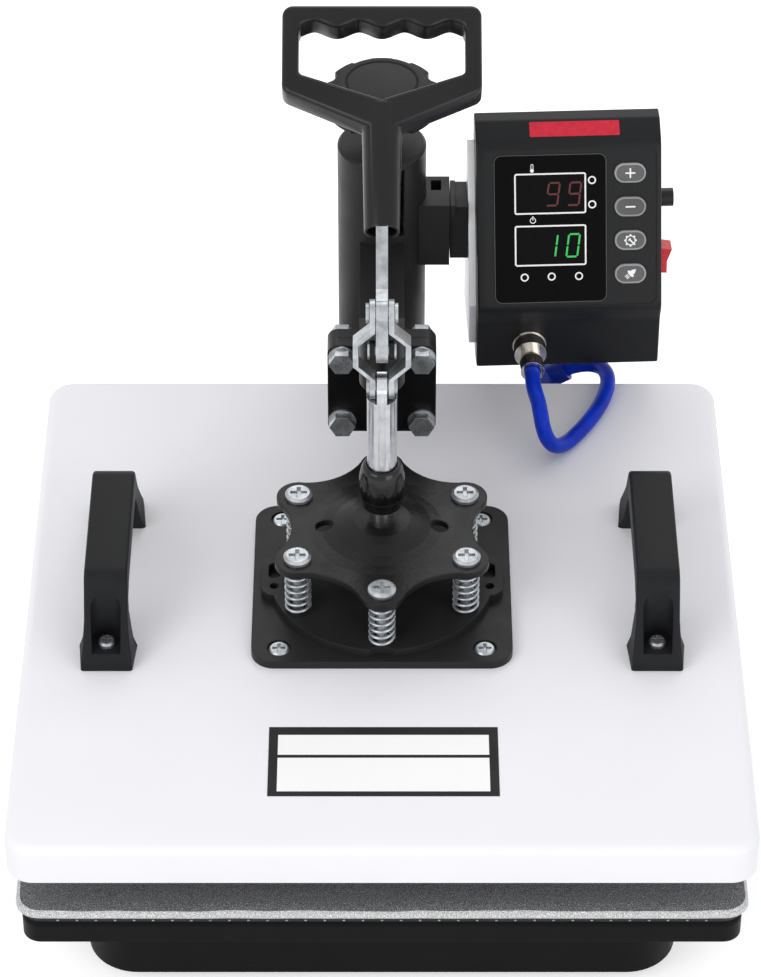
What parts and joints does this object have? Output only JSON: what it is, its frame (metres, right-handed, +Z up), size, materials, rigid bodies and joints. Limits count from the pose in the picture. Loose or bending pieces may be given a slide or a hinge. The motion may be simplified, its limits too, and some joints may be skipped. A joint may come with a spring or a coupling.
{
  "type": "swing-away flat heat press",
  "caption": "Bench heat press, open: flat heated platen under a white cover, swing arm on a column, toggle lever with D-grip, pressure knob and a digital control box.",
  "frame": {"origin": "on the bench, under the middle of the press's bounding box", "axes": "+Z up, -Y towards the operator, +X to the operator's right"},
  "size_m": [0.399, 0.475, 0.4155],
  "materials": {
    "black_enamel": "satin",
    "cast_black": "matte",
    "white_enamel": "satin",
    "silver_enamel": "satin",
    "zinc_steel": "satin",
    "bronze": "satin",
    "platen_aluminium": "satin",
    "heater_alloy": "matte",
    "insulation_board": "matte",
    "pad_cloth": "matte",
    "rubber_black": "matte",
    "plastic_black": "satin",
    "button_grey": "matte",
    "switch_red": "glossy",
    "led_unit": "glossy",
    "board_green": "satin",
    "cable_blue": "satin"
  },
  "bodies": {
    "base": {"base_frame": "black_enamel", "rear_beam": "black_enamel", "rubber_feet": "rubber_black", "post_foot": "black_enamel", "post_bolts": "zinc_steel", "column_post": "zinc_steel", "cross_bars": "black_enamel", "platen_bolts": "zinc_steel", "lower_platen": "black_enamel", "press_pad": "pad_cloth"},
    "swivel": {"thrust_cup": "zinc_steel"},
    "screw": {"pressure_screw": "zinc_steel", "knob_body": "plastic_black", "knob_cap": "plastic_black"},
    "arm": {"column_sleeve": "black_enamel", "sleeve_lid": "black_enamel", "screw_nut": "zinc_steel", "sleeve_bushes": "bronze", "swing_arm": "black_enamel", "toggle_bracket": "cast_black", "guide_bush": "bronze", "flange_bolts": "zinc_steel", "fulcrum_pin": "zinc_steel", "box_bracket": "black_enamel", "box_front": "plastic_black", "box_back": "silver_enamel", "display_panel": "plastic_black", "led_displays": "led_unit", "control_board": "board_green", "cable_socket": "zinc_steel", "cable_plug": "zinc_steel", "fuse_holder": "plastic_black", "switch_frame": "plastic_black", "power_inlet": "plastic_black", "head_cable": "cable_blue"},
    "key_plus": {"button_plus": "button_grey"},
    "key_minus": {"button_minus": "button_grey"},
    "key_set": {"button_set": "button_grey"},
    "key_start": {"button_start": "button_grey"},
    "rocker": {"switch_rocker": "switch_red"},
    "lever": {"lever_bar": "zinc_steel", "lever_grip": "plastic_black", "upper_rivet": "zinc_steel"},
    "links": {"link_left": "zinc_steel", "link_right": "zinc_steel", "lower_rivets": "zinc_steel"},
    "plunger": {"plunger_rod": "zinc_steel", "star_plate": "black_enamel"},
    "head": {"spring_screws": "zinc_steel", "springs": "zinc_steel", "spring_seat": "black_enamel", "mount_plate": "black_enamel", "mount_screws": "zinc_steel", "head_cover": "white_enamel", "insulation": "insulation_board", "heating_platen": "platen_aluminium", "heater_element": "heater_alloy", "carry_handles": "plastic_black", "handle_screws": "zinc_steel", "cable_gland": "plastic_black"}
  },
  "joints": [
    {"name": "head_swing", "type": "hinge", "parent": "base", "child": "swivel", "pos_m": [0, 0.1945, 0.2], "axis": [0, 0, 1], "continuous": true},
    {"name": "pressure_lift", "type": "slide", "parent": "swivel", "child": "arm", "axis": [0, 0, 1], "range_m": [0, 0.008]},
    {"name": "pressure_knob", "type": "hinge", "parent": "swivel", "child": "screw", "pos_m": [0, 0.1945, 0.25], "axis": [0, 0, -1], "range_deg": [0, 1440]},
    {"name": "lever_pull", "type": "hinge", "parent": "arm", "child": "lever", "pos_m": [0, -0.029, 0.3005], "axis": [1, 0, 0], "range_deg": [0, 149.15]},
    {"name": "link_swing", "type": "hinge", "parent": "lever", "child": "links", "pos_m": [0, -0.019, 0.31782], "axis": [1, 0, 0], "range_deg": [-111.3, 0]},
    {"name": "head_press", "type": "slide", "parent": "arm", "child": "head", "axis": [0, 0, -1], "range_m": [0, 0.02451], "deforming": ["head_cable"]},
    {"name": "spring_float", "type": "slide", "parent": "head", "child": "plunger", "axis": [0, 0, -1], "range_m": [0, 0.005], "stiffness_N_per_m": 30000, "deforming": ["springs"]},
    {"name": "press_plus", "type": "slide", "parent": "arm", "child": "key_plus", "axis": [-0.0395, 0.9054, -0.4226], "range_m": [0, 0.001], "stiffness_N_per_m": 1200},
    {"name": "press_minus", "type": "slide", "parent": "arm", "child": "key_minus", "axis": [-0.0395, 0.9054, -0.4226], "range_m": [0, 0.001], "stiffness_N_per_m": 1200},
    {"name": "press_set", "type": "slide", "parent": "arm", "child": "key_set", "axis": [-0.0395, 0.9054, -0.4226], "range_m": [0, 0.001], "stiffness_N_per_m": 1200},
    {"name": "press_start", "type": "slide", "parent": "arm", "child": "key_start", "axis": [-0.0395, 0.9054, -0.4226], "range_m": [0, 0.001], "stiffness_N_per_m": 1200},
    {"name": "power_switch", "type": "hinge", "parent": "arm", "child": "rocker", "pos_m": [0.16341, 0.1882, 0.2035], "axis": [0.0436, -0.999, 0], "range_deg": [0, 16]}
  ],
  "couplings": [
    {"joint": "pressure_knob", "follows": "pressure_lift", "rad_per_m": 3141.6},
    {"joint": "link_swing", "follows": "lever_pull", "ratio": -0.74612},
    {"joint": "head_press", "follows": "lever_pull", "m_per_rad": 0.0094119}
  ]
}
